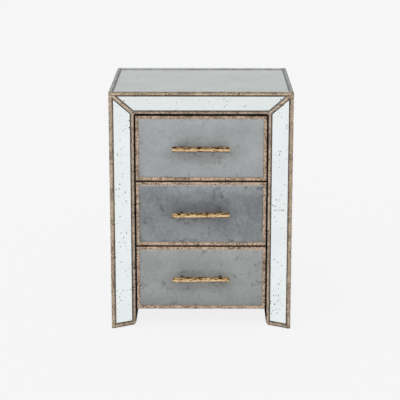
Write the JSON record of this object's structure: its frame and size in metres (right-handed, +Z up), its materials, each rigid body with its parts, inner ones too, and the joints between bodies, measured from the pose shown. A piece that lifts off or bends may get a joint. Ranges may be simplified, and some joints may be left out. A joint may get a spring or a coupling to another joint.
{
  "type": "mirrored nightstand",
  "caption": "Mirrored bedside cabinet with a bevelled, trim-edged mirror frame and stacked sliding drawers with gold bar handles.",
  "frame": {"origin": "on the floor, under the middle of the cabinet's outer box", "axes": "+X to the right seen from the front, +Y to the back, +Z up"},
  "size_m": [0.5, 0.42, 0.672],
  "materials": {
    "black_board": "matt black lacquer on fibreboard",
    "speckled_mirror": "mirror glass with sparse dark specks",
    "top_mirror": "mirror glass, lightly greyed",
    "clouded_mirror": "antiqued mirror glass, smoky and cloudy",
    "antiqued_trim": "champagne paint rubbed back over dark brown",
    "rough_brass": "rough hammered gold",
    "dark_bronze": "dark bronze",
    "zinc_steel": "bright zinc",
    "black_zinc": "black zinc plating on steel",
    "drawer_wood": "sealed plywood",
    "black_nylon": "moulded"
  },
  "bodies": {
    "cabinet": {"back_panel": "black_board", "back_panel_screws": "zinc_steel", "bottom_board": "black_board", "cabinet_slide_members": "black_zinc", "corner_trims": "antiqued_trim", "foot_glides": "black_nylon", "foot_trims": "antiqued_trim", "front_stile_left": "black_board", "front_stile_right": "black_board", "front_top_rail": "black_board", "inner_cheek_left": "black_board", "inner_cheek_right": "black_board", "inner_trims": "antiqued_trim", "leg_blocks": "black_board", "mitre_trims": "antiqued_trim", "rail_mirror": "speckled_mirror", "rear_posts": "black_board", "side_mirror_left": "speckled_mirror", "side_mirror_right": "speckled_mirror", "side_panel_left": "black_board", "side_panel_right": "black_board", "side_trims": "antiqued_trim", "stile_mirror_left": "speckled_mirror", "stile_mirror_right": "speckled_mirror", "top_board": "black_board", "top_mirror": "top_mirror", "top_trims": "antiqued_trim"},
    "drawer_top": {"drawer_top_back": "drawer_wood", "drawer_top_bottom": "drawer_wood", "drawer_top_front": "black_board", "drawer_top_handle_bar": "rough_brass", "drawer_top_handle_posts": "dark_bronze", "drawer_top_handle_screws": "zinc_steel", "drawer_top_mirror": "clouded_mirror", "drawer_top_sides": "drawer_wood", "drawer_top_slide_members": "black_zinc", "drawer_top_trims": "antiqued_trim"},
    "cages_top": {"drawer_top_ball_cages": "black_zinc"},
    "drawer_middle": {"drawer_middle_back": "drawer_wood", "drawer_middle_bottom": "drawer_wood", "drawer_middle_front": "black_board", "drawer_middle_handle_bar": "rough_brass", "drawer_middle_handle_posts": "dark_bronze", "drawer_middle_handle_screws": "zinc_steel", "drawer_middle_mirror": "clouded_mirror", "drawer_middle_sides": "drawer_wood", "drawer_middle_slide_members": "black_zinc", "drawer_middle_trims": "antiqued_trim"},
    "cages_middle": {"drawer_middle_ball_cages": "black_zinc"},
    "drawer_bottom": {"drawer_bottom_back": "drawer_wood", "drawer_bottom_bottom": "drawer_wood", "drawer_bottom_front": "black_board", "drawer_bottom_handle_bar": "rough_brass", "drawer_bottom_handle_posts": "dark_bronze", "drawer_bottom_handle_screws": "zinc_steel", "drawer_bottom_mirror": "clouded_mirror", "drawer_bottom_sides": "drawer_wood", "drawer_bottom_slide_members": "black_zinc", "drawer_bottom_trims": "antiqued_trim"},
    "cages_bottom": {"drawer_bottom_ball_cages": "black_zinc"}
  },
  "joints": [
    {"name": "drawer_top_slide", "type": "slide", "parent": "cabinet", "child": "drawer_top", "axis": [0, -1, 0], "range_m": [0, 0.225]},
    {"name": "cages_top_roll", "type": "slide", "parent": "cabinet", "child": "cages_top", "axis": [0, -1, 0], "range_m": [0, 0.1125]},
    {"name": "drawer_middle_slide", "type": "slide", "parent": "cabinet", "child": "drawer_middle", "axis": [0, -1, 0], "range_m": [0, 0.225]},
    {"name": "cages_middle_roll", "type": "slide", "parent": "cabinet", "child": "cages_middle", "axis": [0, -1, 0], "range_m": [0, 0.1125]},
    {"name": "drawer_bottom_slide", "type": "slide", "parent": "cabinet", "child": "drawer_bottom", "axis": [0, -1, 0], "range_m": [0, 0.225]},
    {"name": "cages_bottom_roll", "type": "slide", "parent": "cabinet", "child": "cages_bottom", "axis": [0, -1, 0], "range_m": [0, 0.1125]}
  ],
  "couplings": [
    {"joint": "cages_top_roll", "follows": "drawer_top_slide", "ratio": 0.5},
    {"joint": "cages_middle_roll", "follows": "drawer_middle_slide", "ratio": 0.5},
    {"joint": "cages_bottom_roll", "follows": "drawer_bottom_slide", "ratio": 0.5}
  ]
}
